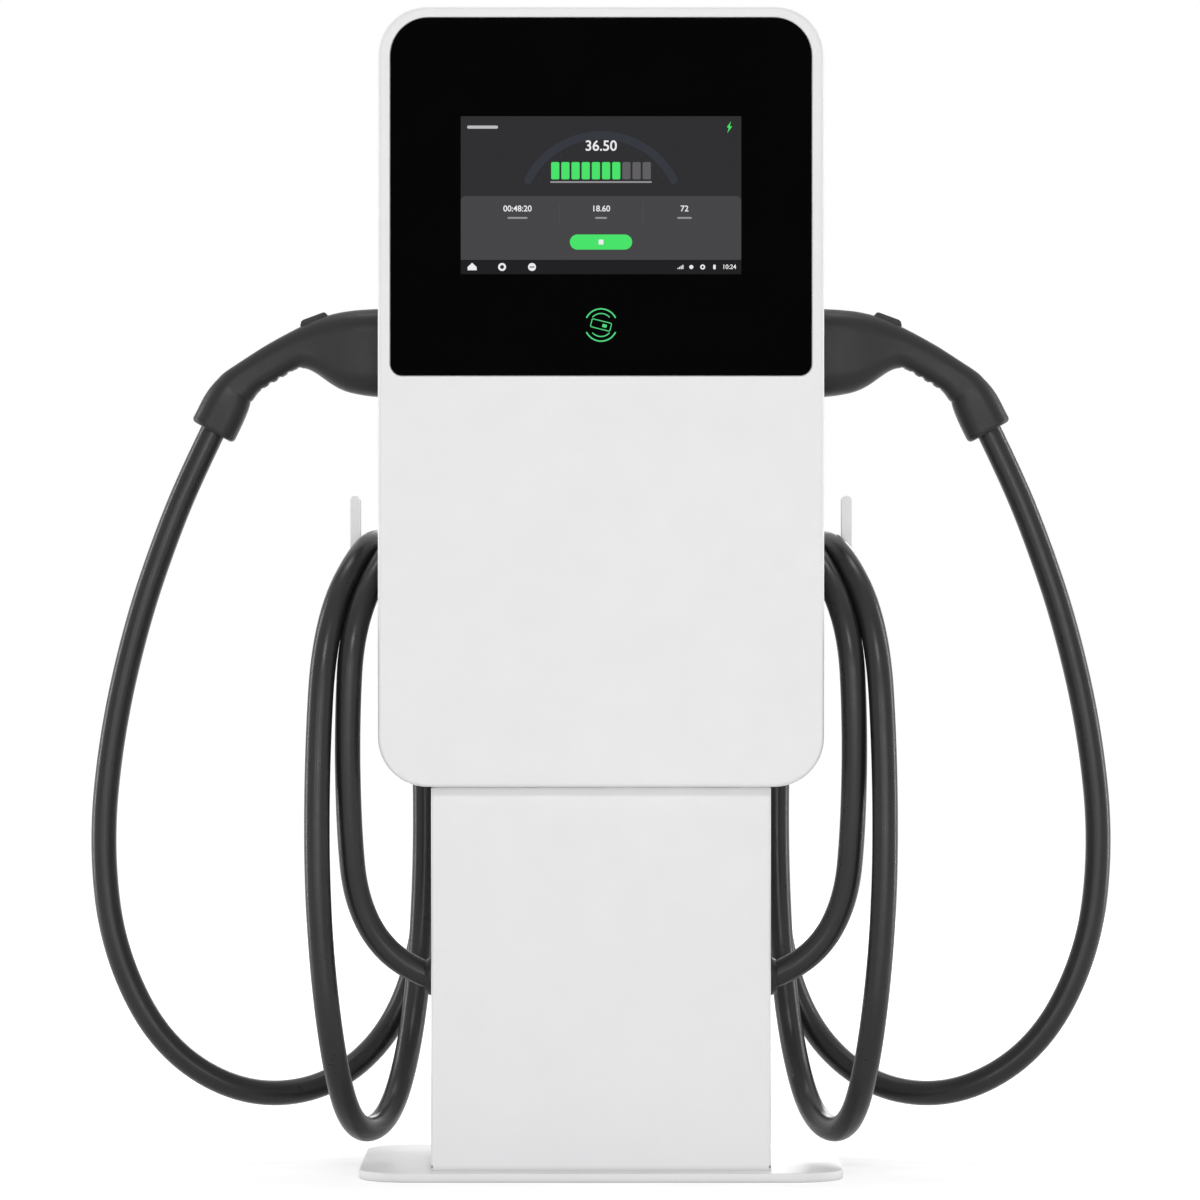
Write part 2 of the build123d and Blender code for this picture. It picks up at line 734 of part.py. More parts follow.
with BuildPart() as case_screws:
    for side in (-1, 1):
        for z in boss_z:
            screw((side * boss_x, body_front, z), (0, -1, 0), 3.6, 2.4, 1.6, 14, socket_r=1.2)
        for z in panel_screw_z:
            screw((side * panel_screw_x, panel_back, z), (0, -1, 0), 4, 2.4, 2, 12, socket_r=1.4)
    for x, z in grille_holes:
        screw((x, panel_back + grille_depth, z), (0, -1, 0), 3.2, 2, 1.6, 14, socket_r=1.1)
    for x, z in fan_holes:
        start = (x, panel_back - fan_screw_head, z)
        screw(start, (0, -1, 0), 4, fan_screw_head, fan_screw_r, 16, socket_r=1.4)
save(case_screws, "case_screws")

# ================================================================ electrical equipment inside the head
shelf_half = inner_half - SEAT_GAP
shelf_levels = (head_bottom + 195, head_bottom + 305)
shelf_sheet = 2
module_half = 160
module_height = 92
module_front = -45
module_back = body_back - body_wall - 12

with BuildPart() as module_shelves:
    for z in shelf_levels:
        block((-shelf_half, shelf_half), (module_front - 5, module_back + 5), (z - shelf_sheet, z))
        for side in (-1, 1):
            lip = sorted((side * shelf_half, side * (shelf_half - shelf_sheet)))
            block(lip, (module_front - 5, module_back + 5), (z - 20, z - shelf_sheet))
save(module_shelves, "module_shelves")

with BuildPart() as power_modules:
    for z in shelf_levels:
        block((-module_half, module_half), (module_front, module_back), (z, z + module_height))
        # cooling fins along the top
        with BuildSketch(facing(module_front)):
            with Locations((0, z + module_height - 6)):
                with GridLocations(12, 1, 26, 1):
                    Rectangle(8, 14, mode=Mode.ADD)
        extrude(amount=-(module_back - module_front - 20), mode=Mode.SUBTRACT)
save(power_modules, "power_modules")

plate_front = -62
plate_levels = ((head_bottom + 590, head_bottom + 730), (head_bottom + 40, head_bottom + 150))
with BuildPart() as equipment_plates:
    for low, high in plate_levels:
        block((-shelf_half, shelf_half), (plate_front, plate_front + 2), (low, high))
        for side in (-1, 1):
            lip = sorted((side * shelf_half, side * (shelf_half - 2)))
            block(lip, (plate_front + 2, plate_front + 22), (low, high))
save(equipment_plates, "equipment_plates")

board_middle = sum(plate_levels[0]) / 2
board_front = plate_front - 10
with BuildPart() as controller_board:
    block((-115, 115), (board_front, board_front + 1.6), (board_middle - 58, board_middle + 58))
    block((-40, 0), (board_front - 4, board_front), (board_middle - 20, board_middle + 20))
    block((30, 95), (board_front - 12, board_front), (board_middle + 25, board_middle + 50))
    block((-105, -60), (board_front - 12, board_front), (board_middle - 52, board_middle - 38))
    for x in (-108, 108):
        for z in (board_middle - 51, board_middle + 51):
            rod((x, board_front + 1.6, z), (0, 1, 0), 3, 8.4)
save(controller_board, "controller_board")

with BuildPart() as contactors:
    for x in (-120, -45, 45, 120):
        block((x - 28, x + 28), (plate_front + 2, plate_front + 50), (board_middle - 30, board_middle + 30))
        for dx in (-13, 13):
            rod((x + dx, plate_front + 50, board_middle + 12), (0, 1, 0), 5, 12)
save(contactors, "contactors")

rail_middle = sum(plate_levels[1]) / 2
rail_sheet = 1
rail_depth = 7.5
with BuildPart() as din_rail:
    with BuildSketch(sideways(-150)):
        with Locations((plate_front - rail_sheet / 2, rail_middle)):
            Rectangle(rail_sheet, 27)
        for side in (-1, 1):
            with Locations((plate_front - rail_depth / 2, rail_middle + side * 13)):
                Rectangle(rail_depth, rail_sheet)
            with Locations((plate_front - rail_depth + rail_sheet / 2, rail_middle + side * 15)):
                Rectangle(rail_sheet, 5)
    extrude(amount=300)
save(din_rail, "din_rail")

rail_face = plate_front - rail_depth
with BuildPart() as input_terminals:
    for step in range(5):
        x = -135 + 18 * step
        block((x, x + 17), (rail_face - 32, rail_face), (rail_middle - 32, rail_middle + 32))
        rod((x + 8.5, rail_face - 33, rail_middle + 20), (0, 1, 0), 4, 10, mode=Mode.SUBTRACT)
        rod((x + 8.5, rail_face - 33, rail_middle - 20), (0, 1, 0), 4, 10, mode=Mode.SUBTRACT)
save(input_terminals, "input_terminals")

with BuildPart() as surge_protector:
    for step in range(4):
        x = 20 + 18 * step
        block((x, x + 17.6), (rail_face - 22, rail_face), (rail_middle - 42, rail_middle + 42))
        block((x, x + 17.6), (rail_face - 36, rail_face - 22), (rail_middle - 22, rail_middle + 22))
save(surge_protector, "surge_protector")

# ================================================================ connector and its holster
barrel_r = 22
barrel_z = holster_z + 5
pill_width = 60
pill_height = 30
pill_z = holster_z - 30
nose_tip = body_half - nose_reach
shell_front = body_half + connector_stand
shell_front_height = 100
shell_front_width = 70
insert_end = shell_front + 22
latch_lift = 9
latch_low = holster_z + 31
latch_high = holster_z + 37


def grip(out, rise):
    """x and z of a point on the left connector, from the middle of its shell's mouth."""
    return (-shell_front - out, holster_z + rise)


latch_pivot = grip(34, 34)


def nose_outline(grow):
    """Round alternating-current barrel over the flat direct-current block, on an X plane."""
    with Locations((holster_y, barrel_z)):
        Circle(barrel_r + grow)
    with Locations((holster_y, pill_z)):
        RectangleRounded(pill_width + 2 * grow, pill_height + 2 * grow, 12 + grow)


holster_mouth = body_half + holster_reach
holster_floor = body_half - holster_inner
collar_y = holster_window_y - 4
collar_z = holster_window_z - 4
with BuildPart() as holster_left:
    with BuildSketch(sideways(-holster_mouth)):
        with Locations((holster_y, holster_z)):
            RectangleRounded(collar_y, collar_z, 14)
    extrude(amount=holster_mouth - holster_floor)
    with BuildSketch(sideways(-body_half)):
        with Locations((holster_y, holster_z)):
            RectangleRounded(holster_window_y + 36, holster_window_z + 14, 12)
        with Locations(*holster_screws_at):
            Circle(2.2, mode=Mode.SUBTRACT)
    extrude(amount=-4)
    with BuildSketch(sideways(-holster_mouth)):
        nose_outline(holster_play)
        with Locations((holster_y, (barrel_z + latch_high + latch_lift) / 2)):
            Rectangle(latch_slot + 2, latch_high + latch_lift - barrel_z)
    extrude(amount=holster_mouth - holster_floor - 4, mode=Mode.SUBTRACT)
save_pair(holster_left, "holster_{}")

with BuildPart() as side_screws:
    for side in (-1, 1):
        for y, z in holster_screws_at:
            screw((side * (body_half + 4), y, z), (-side, 0, 0), 4, 2.6, 2.2, 12, socket_r=1.4)
        for y in (-hook_screw_y, hook_screw_y):
            for z in (-hook_screw_z, hook_screw_z):
                start = (side * (body_half + hook_plate - hook_screw_sink), y, hook_plate_middle + z)
                screw(start, (-side, 0, 0), 5.2, 2.2, 3, 12, socket_r=2)
save(side_screws, "side_screws")

# Sections of the connector's shell, from its mouth to the end of its grip.
# Each is (out, rise, slope down in degrees, height, width).
SHELL_SECTIONS = [
    (0, 0, 0, shell_front_height, shell_front_width),
    (24, 0, 0, 99, 69.5),
    (44, 0.6, 0, 95.5, 67.5),
    (64, 1.8, 1, 88, 63),
    (87, 4.2, 6, 69.5, 54),
    (113.7, 4.1, 15, 44, 45.5),
    (138.4, -7.8, 26, 40.2, 41),
    (161.7, -22.1, 36, 39.5, 39.5),
    (174.2, -30.8, 44, 41, 40.5),
    (186, -41.9, 54, 44.5, 42.5),
]
COLLAR_SECTIONS = [
    SHELL_SECTIONS[-1],
    (190.8, -49.5, 61, 48.6, 46),
    (201.5, -70.5, 62, 52.5, 49),
    (211, -89, 61, 53, 49),
]
collar_end_round = 5

# Screws of the grip: out, rise and the shell's half width there.
GRIP_SCREWS = [(57, -27, 31), (98, 4, 25), (144, -11, 20), (170, -28.5, 20.3)]
screw_sink = 4
boss_play = 5  # how far a boss's post runs past the shell's half width before it is trimmed

# Bottoms of the finger grooves under the grip: out and rise.
FINGER_GROOVES = [(155.3, -40), (146.2, -33.4), (135.9, -27.4), (125.4, -21.4), (114.6, -16.8)]
groove_r = 4


def section_plane(out, rise, slope):
    """The plane across the grip's spine, which runs outward and down."""
    x, z = grip(out, rise)
    down = radians(slope)
    return Plane(origin=(x, holster_y, z), x_dir=(0, 1, 0), z_dir=(-cos(down), 0, -sin(down)))


def shell_faces(sections, shrink=0.0):
    """Rounded faces across the spine, each smaller all round by shrink, to loft between."""
    faces = []
    for out, rise, slope, height, width in sections:
        high = height - 2 * shrink
        wide = width - 2 * shrink
        with BuildSketch(section_plane(out, rise, slope)) as section:
            RectangleRounded(wide, high, 0.4 * min(wide, high))
        faces.append(section.sketch.face())
    return faces


# the hollow inside, with the bosses of the screws and of the latch's pin left standing in it
with BuildPart() as shell_cavity:
    loft(shell_faces(SHELL_SECTIONS, shell_wall))
    for out, rise, half in GRIP_SCREWS:
        x, z = grip(out, rise)
        rod((x, -half - boss_play, z), (0, 1, 0), 4.4, 2 * (half + boss_play), mode=Mode.SUBTRACT)
    for side in (-1, 1):
        start = (latch_pivot[0], side * (latch_width / 2 + 1), latch_pivot[1])
        rod(start, (0, side, 0), 5, shell_front_width / 2, mode=Mode.SUBTRACT)

with BuildPart() as connector_shell:
    loft(shell_faces(SHELL_SECTIONS))
    # finger grooves under the grip
    for out, rise in FINGER_GROOVES:
        x, z = grip(out, rise)
        rod((x + 0.6 * groove_r, -30, z - 0.8 * groove_r), (0, 1, 0), groove_r, 60, mode=Mode.SUBTRACT)
    # slot that the release button stands in
    slot_x = (grip(116, 0)[0], grip(75, 0)[0])
    slot_z = (holster_z + 18, holster_z + 60)
    block(slot_x, (-latch_slot / 2 - 1, latch_slot / 2 + 1), slot_z, mode=Mode.SUBTRACT)
    add(shell_cavity.part, mode=Mode.SUBTRACT)
    rod((latch_pivot[0], -18, latch_pivot[1]), (0, 1, 0), pin_r, 36, mode=Mode.SUBTRACT)
    # counterbores for the screws, which go in from the far side
    for out, rise, half in GRIP_SCREWS:
        x, z = grip(out, rise)
        rod((x, half - screw_sink, z), (0, 1, 0), 3.5, 10, mode=Mode.SUBTRACT)
        rod((x, half - screw_sink + 1, z), (0, -1, 0), 1.5, half + 6, mode=Mode.SUBTRACT)

with BuildPart() as connector_left_shell_near:
    add(connector_shell.part)
    split(bisect_by=Plane.XZ, keep=Keep.TOP)
save_pair(connector_left_shell_near, "connector_{}_shell_near")

with BuildPart() as connector_left_shell_far:
    add(connector_shell.part)
    split(bisect_by=Plane.XZ, keep=Keep.BOTTOM)
save_pair(connector_left_shell_far, "connector_{}_shell_far")

signal_holes = [(12 * cos(radians(a)), 12 * sin(radians(a))) for a in (90, 210, 330)]
dc_half_pitch = 16
with BuildPart() as connector_left_insert:
    core_x = shell_front + 7
    with BuildSketch(sideways(-shell_front)):
        nose_outline(0)
    extrude(amount=shell_front - nose_tip)
    with BuildSketch(sideways(-core_x)):
        with Locations((holster_y, holster_z)):
            wide = shell_front_width - 2 * shell_wall - 1
            high = shell_front_height - 2 * shell_wall - 1
            RectangleRounded(wide, high, 0.4 * wide)
        with Locations((holster_y, latch_high)):
            Rectangle(latch_slot + 2, 22, mode=Mode.SUBTRACT)
    extrude(amount=core_x - shell_front)
    block((-insert_end, -core_x), (-22, 22), (pill_z - 10, latch_low - 9))
    with BuildSketch(sideways(-nose_tip)):
        with Locations(*[(y, barrel_z + z) for y, z in signal_holes]):
            Circle(3.2)
        with Locations((-dc_half_pitch, pill_z), (dc_half_pitch, pill_z)):
            Circle(7.5)
    extrude(amount=-52, mode=Mode.SUBTRACT)
save_pair(connector_left_insert, "connector_{}_insert")

with BuildPart() as connector_left_contacts:
    for y, z, outer, bore in [(y, barrel_z + z, 3.2, 1.6) for y, z in signal_holes] + [
        (-dc_half_pitch, pill_z, 7.5, 4.2),
        (dc_half_pitch, pill_z, 7.5, 4.2),
    ]:
        start = (-nose_tip - 6, y, z)
        rod(start, (-1, 0, 0), outer - 0.05, 45.9)
        rod((-nose_tip - 5, y, z), (-1, 0, 0), bore, 32, mode=Mode.SUBTRACT)
save_pair(connector_left_contacts, "connector_{}_contacts")

with BuildPart() as connector_left_latch:
    with BuildSketch(facing(-latch_width / 2)):
        with BuildLine():
            outline = ((-42, 28), (-42, 36), (-38, 37), (34, 40), (75, 39), (80, 42), (83.5, 45.6))
            outline += ((86, 45.6), (108, 37.5), (110.5, 35.5), (111.5, 31), (110, 24))
            outline += ((90, 28), (44, 29), (34, 28), (-36, 31), (-38, 28))
            Polyline(*[grip(out, rise) for out, rise in outline], close=True)
        make_face()
        with Locations(latch_pivot):
            Circle(pin_r + pin_play, mode=Mode.SUBTRACT)
    extrude(amount=-latch_width)
save_pair(connector_left_latch, "connector_{}_latch")

with BuildPart() as connector_left_latch_pin:
    rod((latch_pivot[0], -18, latch_pivot[1]), (0, 1, 0), pin_r, 36)
save_pair(connector_left_latch_pin, "connector_{}_latch_pin")

with BuildPart() as connector_left_latch_spring:
    # a leaf that rests on the insert and lifts the latch's tail
    with BuildSketch(facing(-4)):
        with BuildLine():
            bends = [grip(22, 18), grip(34, 14), grip(62, 18), grip(88, 27)]
            leaf = Spline(*bends, tangents=[(-1, 0), (-1, 0.3)])
        trace(leaf, line_width=0.9)
    extrude(amount=-8)
save_pair(connector_left_latch_spring, "connector_{}_latch_spring")

with BuildPart() as connector_left_collar:
    loft(shell_faces(COLLAR_SECTIONS))
    fillet(faces().sort_by(Axis.Z)[0].edges(), collar_end_round)
    x, z = grip(199.9, -66.7)
    outward = Vector(*CABLE_ROUTE[-2]) - Vector(*CABLE_ROUTE[-1])
    rod((x, holster_y, z), outward, cable_r + collar_play, 60, mode=Mode.SUBTRACT)
save_pair(connector_left_collar, "connector_{}_collar")

with BuildPart() as connector_left_screws:
    for out, rise, half in GRIP_SCREWS:
        x, z = grip(out, rise)
        screw((x, half - screw_sink, z), (0, -1, 0), 3.3, 2.4, 1.5, half + 2, socket_r=1.3)
save_pair(connector_left_screws, "connector_{}_screws")

# ================================================================ cable hooks
hook_low = hook_plate_middle - hook_plate_z / 2
with BuildPart() as cable_hook_left:
    with BuildSketch(sideways(-body_half)):
        with Locations((0, hook_plate_middle)):
            RectangleRounded(hook_plate_y, hook_plate_z, 8)
            with GridLocations(2 * hook_screw_y, 2 * hook_screw_z, 2, 2):
                Circle(3, mode=Mode.SUBTRACT)
    extrude(amount=-hook_plate)
    for y in (-hook_screw_y, hook_screw_y):
        for z in (-hook_screw_z, hook_screw_z):
            start = (-body_half - hook_plate + hook_screw_sink, y, hook_plate_middle + z)
            rod(start, (-1, 0, 0), 5.6, 5, mode=Mode.SUBTRACT)
    # crowned arm that the cable lies over
    with BuildSketch(sideways(-body_half - 2)):
        with Locations((0, hook_z - hook_crown)):
            Circle(hook_crown)
            Circle(hook_crown - hook_arm, mode=Mode.SUBTRACT)
        with Locations((0, hook_z - 3)):
            Rectangle(hook_width, 16, mode=Mode.INTERSECT)
    extrude(amount=-(hook_inner_face + hook_upright - body_half - 2))
    # upright that keeps the cable on the arm, with a round top
    with BuildSketch(facing(-hook_width / 2)):
        with Locations((-hook_inner_face - hook_upright / 2, (hook_z - hook_arm + hook_upright_top) / 2)):
            RectangleRounded(hook_upright, hook_upright_top - hook_z + hook_arm, hook_upright / 2 - 0.2)
    extrude(amount=-hook_width)
    # rib under the arm
    with BuildSketch(facing(-3)):
        with BuildLine():
            Polyline(
                (-body_half - 2, hook_z - 4),
                (-hook_inner_face - 2, hook_z - 4),
                (-hook_inner_face + 8, hook_z - 12),
                (-body_half - 2, hook_low + 10),
                close=True,
            )
        make_face()
    extrude(amount=-6)
save_pair(cable_hook_left, "cable_hook_{}")

# ================================================================ charging cables
BEND_SHARE = 0.45  # each arc uses this much of the shorter of its two runs


def bend_radii(route):
    """The largest radius that each corner's two runs allow."""
    points = [Vector(*point) for point in route]
    radii = []
    for before, corner, after in zip(points, points[1:], points[2:]):
        inward = corner - before
        outward = after - corner
        half_turn = radians(inward.get_angle(outward)) / 2
        radii.append(BEND_SHARE * min(inward.length, outward.length) / tan(half_turn))
    return radii


radii = bend_radii(CABLE_ROUTE)
print("cable bend radii", [round(radius) for radius in radii])

with BuildPart() as cable_left:
    with BuildLine() as cable_path:
        FilletPolyline(*CABLE_ROUTE, radius=radii)
    start_direction = Vector(*CABLE_ROUTE[1]) - Vector(*CABLE_ROUTE[0])
    with BuildSketch(Plane(origin=CABLE_ROUTE[0], z_dir=start_direction)):
        Circle(cable_r)
    sweep(path=cable_path.line)
save_pair(cable_left, "cable_{}")
path_length = sum(edge.length for edge in cable_path.edges())
section_times_length = pi * cable_r**2 * path_length
volume_share = cable_left.part.volume / section_times_length
print("cable length", round(path_length), "volume share", round(volume_share, 4))
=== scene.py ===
"""Looks of the EV charging post: materials, cables, leaf springs, lit screen, lamps and camera.

Metres, +Z up, the front faces -Y. Left pieces lie towards -X, and right ones mirror them.
"""

import json
import math

import bmesh
import bpy
from mathutils import Matrix, Vector

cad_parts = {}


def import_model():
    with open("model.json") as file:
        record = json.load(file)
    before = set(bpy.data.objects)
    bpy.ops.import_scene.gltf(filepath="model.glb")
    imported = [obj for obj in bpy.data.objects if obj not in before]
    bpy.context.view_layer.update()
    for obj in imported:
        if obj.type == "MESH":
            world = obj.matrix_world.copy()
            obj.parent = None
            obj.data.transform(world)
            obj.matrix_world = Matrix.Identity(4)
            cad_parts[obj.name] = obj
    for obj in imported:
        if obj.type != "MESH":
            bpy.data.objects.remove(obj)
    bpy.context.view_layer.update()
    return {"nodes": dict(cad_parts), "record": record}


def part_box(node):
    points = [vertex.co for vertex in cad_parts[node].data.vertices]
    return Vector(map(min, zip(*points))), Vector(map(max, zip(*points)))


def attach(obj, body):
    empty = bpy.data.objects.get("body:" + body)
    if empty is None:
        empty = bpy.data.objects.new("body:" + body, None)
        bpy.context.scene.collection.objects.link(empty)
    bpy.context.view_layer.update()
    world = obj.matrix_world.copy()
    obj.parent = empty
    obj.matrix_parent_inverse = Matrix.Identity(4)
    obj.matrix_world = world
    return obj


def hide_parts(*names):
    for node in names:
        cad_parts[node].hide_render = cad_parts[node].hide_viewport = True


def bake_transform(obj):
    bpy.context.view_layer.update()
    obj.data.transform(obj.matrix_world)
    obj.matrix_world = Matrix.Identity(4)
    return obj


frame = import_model()

MM = 0.001
SIDES = {"left": -1, "right": 1}  # the sign of x on each side

# ---------------------------------------------------------------- cables and springs, sizes
CABLE_DIAMETER = 28.5 * MM
CABLE_STEPS_ALONG = 12  # per point of the route
CABLE_STEPS_ROUND = 14  # Blender's bevel resolution

# Route of the left cable's centreline, from its gland to its connector, in millimetres.
CABLE_ROUTE = [
    (-94, -108, 214),
    (-124, -108, 214),
    (-184, -109, 218),
    (-241, -114, 250),
    (-272, -124, 308),
    (-279, -135, 388),
    (-281, -144, 500),
    (-275, -147, 618),
    (-234, -62, 704),
    (-213, 50, 704),
    (-215, 128, 618),
    (-202, 130, 470),
    (-203, 129, 290),
    (-217, 125, 138),
    (-241, 48, 46),
    (-277, -64, 44),
    (-297, -144, 134),
    (-313, -154, 290),
    (-314, -155, 455),
    (-305, -150, 616),
    (-264, -60, 706),
    (-240, 75, 706),
    (-224, 168, 618),
    (-200, 174, 450),
    (-199, 175, 285),
    (-230, 153, 157),
    (-304, 95, 84),
    (-402, 45, 75),
    (-496, 24, 132),
    (-552, 16, 242),
    (-566, 12, 365),
    (-553, 8, 492),
    (-525, 4, 614),
    (-491, 2, 714),
    (-461, 0, 786),
    (-427.9, 0, 853.3),
]

LEAF_SLICES = 32  # slices along the leaf spring

# ---------------------------------------------------------------- stage, sizes
CAMERA_PLACE = (0, -6.632, 0.641)
CAMERA_LENS = 176.1
CAMERA_SENSOR = 36.0
CAMERA_SHIFT_X = -1 / 1200  # one pixel of the photograph
CAMERA_CLIP_END = 200

# Each lamp: its name, its place, the point it faces, its width and height, its watts.
LAMPS = [
    ("left_key", (-2.6, -7.1, 0.55), (0, 0, 0.62), (1.0, 1.1), 31),
    ("right_key", (2.6, -7.1, 0.55), (0, 0, 0.62), (1.0, 1.1), 31),
    ("low_key", (0.2, -7.5, 0.42), (0, 0, 0.62), (1.1, 0.8), 48),
    ("high_key", (0, -6.0, 3.2), (0, 0, 0.6), (1.6, 0.8), 84),
    ("left_strip", (-2.4, 0.5, 1.0), (0, 0, 0.7), (0.25, 2.4), 27),
    ("right_strip", (2.4, 0.5, 1.0), (0, 0, 0.7), (0.25, 2.4), 27),
    ("top_strip", (0, 0.4, 3.2), (0, 0, 0.9), (1.6, 0.3), 14),
    ("back", (0.8, 5.2, 1.8), (0, 0, 0.7), (2.0, 1.6), 50),
]
SURROUND_STRENGTH = 0.45
BACKDROP_STRENGTH = 1.0

FLOOR_HALF = 40
FLOOR_SHADE = 0.8
GLOW_NEAR = 0.41  # the floor's own glow nearer to the origin than GLOW_NEAR_RADIUS
GLOW_FAR = 0.7  # and farther from it than GLOW_FAR_RADIUS
GLOW_NEAR_RADIUS = 0.5
GLOW_FAR_RADIUS = 2.4


# ---------------------------------------------------------------- object helpers
SMOOTH_ANGLE = math.radians(28)


def add_object(name, data):
    """A new object in the scene."""
    made = bpy.data.objects.new(name, data)
    bpy.context.scene.collection.objects.link(made)
    return made


def dress(mesh, material, keep_edges=True):
    """Give a mesh one material and smooth shading, with its sharp edges kept sharp."""
    mesh.materials.clear()
    mesh.materials.append(material)
    mesh.polygons.foreach_set("use_smooth", [True] * len(mesh.polygons))
    if keep_edges:
        mesh.set_sharp_from_angle(angle=SMOOTH_ANGLE)


# ---------------------------------------------------------------- node helpers
class Graph:
    """A node tree whose nodes are made with their sockets and settings by name."""

    def __init__(self, owner):
        owner.use_nodes = True
        self.nodes = owner.node_tree.nodes
        self.links = owner.node_tree.links

    def node(self, kind, **settings):
        """A new node. An underscore in a setting stands for the space in a socket's name."""
        made = self.nodes.new(kind)
        for key, value in settings.items():
            socket = key.replace("_", " ")
            if socket in made.inputs:
                made.inputs[socket].default_value = value
            else:
                setattr(made, key, value)
        return made

    def link(self, output, target):
        self.links.new(output, target)

    def seen_directly(self):
        """1 for what camera, glossy and transmitted rays see, 0 for the light that is given."""
        path = self.node("ShaderNodeLightPath")
        seen = path.outputs["Is Camera Ray"]
        for name in ("Is Glossy Ray", "Is Transmission Ray"):
            more = self.node("ShaderNodeMath", operation="MAXIMUM")
            self.link(seen, more.inputs[0])
            self.link(path.outputs[name], more.inputs[1])
            seen = more.outputs[0]
        return seen


class Shader(Graph):
    """A material and its Principled shader, whose sockets are reached by name."""

    def __init__(self, name, **sockets):
        self.material = bpy.data.materials.new(name)
        super().__init__(self.material)
        self.principled = self.nodes["Principled BSDF"]
        for key, value in sockets.items():
            self.principled.inputs[key.replace("_", " ")].default_value = value

    def coordinates(self):
        return self.node("ShaderNodeTexCoord").outputs["Object"]

    def noise(self, scale, detail=3.0, stretch=None):
        """Noise in object space, its scale in cycles per metre."""
        texture = self.node("ShaderNodeTexNoise", Scale=scale, Detail=detail, Roughness=0.5)
        source = self.coordinates()
        if stretch:
            mapping = self.node("ShaderNodeMapping", Scale=stretch)
            self.link(source, mapping.inputs["Vector"])
            source = mapping.outputs["Vector"]
        self.link(source, texture.inputs["Vector"])
        return texture.outputs["Fac"]

    def cells(self, scale):
        """Distance to the nearest point of a cell pattern, its scale in cells per metre."""
        pattern = self.node("ShaderNodeTexVoronoi", Scale=scale)
        self.link(self.coordinates(), pattern.inputs["Vector"])
        return pattern.outputs["Distance"]

    def spread(self, factor, low, high, start=0.3, stop=0.7):
        """Colours or greys that go from low to high while the factor goes from start to stop."""
        ramp = self.node("ShaderNodeValToRGB")
        for element, position, value in zip(ramp.color_ramp.elements, (start, stop), (low, high)):
            element.position = position
            element.color = (*value, 1) if isinstance(value, tuple) else (*grey(value), 1)
        self.link(factor, ramp.inputs["Fac"])
        return ramp.outputs["Color"]

    def drive(self, socket, output):
        self.link(output, self.principled.inputs[socket])

    def bump(self, *layers):
        """Stacked bumps: each layer is (height output, depth in metres)."""
        before = None
        for height, depth in layers:
            bump = self.node("ShaderNodeBump", Strength=1.0, Distance=depth)
            self.link(height, bump.inputs["Height"])
            if before:
                self.link(before, bump.inputs["Normal"])
            before = bump.outputs["Normal"]
        self.drive("Normal", before)


def grey(value):
    return (value, value, value)


def darker(shade, share):
    """A shade with each channel taken down to a share of itself."""
    return tuple(channel * share for channel in shade)


# ---------------------------------------------------------------- materials
def powder_coat(name, shade, roughness):
    """Satin powder coat on sheet metal: fine orange peel, a barely uneven tone, and painted shade
    that darkens its corners and seams."""
    shader = Shader(name, IOR=1.5)
    tone = shader.spread(shader.noise(7.0, detail=4.0), darker(shade, 0.985), shade)
    # painted shade: ambient occlusion darkens the base colour in corners, creases and seams
    corners = shader.node("ShaderNodeAmbientOcclusion", samples=6, Distance=9 * MM)
    painted_corner_shade = shader.spread(corners.outputs["AO"], 0.62, 1.0, stop=0.8)
    mix = shader.node("ShaderNodeMixRGB", blend_type="MULTIPLY", Fac=1.0)
    shader.link(tone, mix.inputs["Color1"])
    shader.link(painted_corner_shade, mix.inputs["Color2"])
    shader.drive("Base Color", mix.outputs["Color"])
    shader.drive("Roughness", shader.spread(shader.noise(40.0), roughness - 0.04, roughness + 0.04))
    shader.bump((shader.noise(900.0, detail=2.0), 0.03 * MM), (shader.noise(260.0), 0.05 * MM))
    return shader.material


def black_glass(name):
    """Cover glass printed black behind: polished, with faint wiping marks in its gloss."""
    shader = Shader(name, IOR=1.5, Specular_IOR_Level=0.02)
    shader.drive("Base Color", shader.spread(shader.noise(12.0), 0.0003, 0.0006))
    marks = shader.noise(9.0, detail=5.0, stretch=(1, 1, 3))
    shader.drive("Roughness", shader.spread(marks, 0.03, 0.07, start=0.35, stop=0.75))
    return shader.material


def cable_jacket(name):
    """Smooth rubber jacket: tone and gloss are a little uneven, over a very shallow grain."""
    shader = Shader(name, IOR=1.45, Specular_IOR_Level=0.36)
    tone = shader.spread(shader.noise(14.0, detail=5.0), 0.012, 0.017, stop=0.72)
    shader.drive("Base Color", tone)
    shader.drive("Roughness", shader.spread(shader.noise(60.0, detail=4.0), 0.27, 0.34, stop=0.75))
    shader.bump((shader.noise(700.0), 0.01 * MM), (shader.noise(90.0), 0.02 * MM))
    return shader.material


def moulded(name, shade, roughness=0.5):
    """Moulded plastic or rubber with a fine spark-eroded grain."""
    shader = Shader(name, IOR=1.46, Specular_IOR_Level=0.25)
    tone = shader.spread(shader.noise(25.0, detail=4.0), darker(shade, 0.9), shade)
    shader.drive("Base Color", tone)
    shader.drive("Roughness", shader.spread(shader.noise(80.0), roughness - 0.05, roughness + 0.06))
    shader.bump((shader.noise(1300.0, detail=2.0), 0.05 * MM))
    return shader.material


def metal(name, shade, roughness, stretch=None):
    """Plated or milled metal with fine marks, which run one way where stretch is given."""
    shader = Shader(name, Metallic=1.0)
    tone = shader.spread(shader.noise(30.0, detail=5.0), darker(shade, 0.88), shade)
    shader.drive("Base Color", tone)
    marks = shader.noise(500.0, stretch=stretch)
    shader.drive("Roughness", shader.spread(marks, roughness - 0.06, roughness + 0.08))
    shader.bump((marks, 0.02 * MM))
    return shader.material


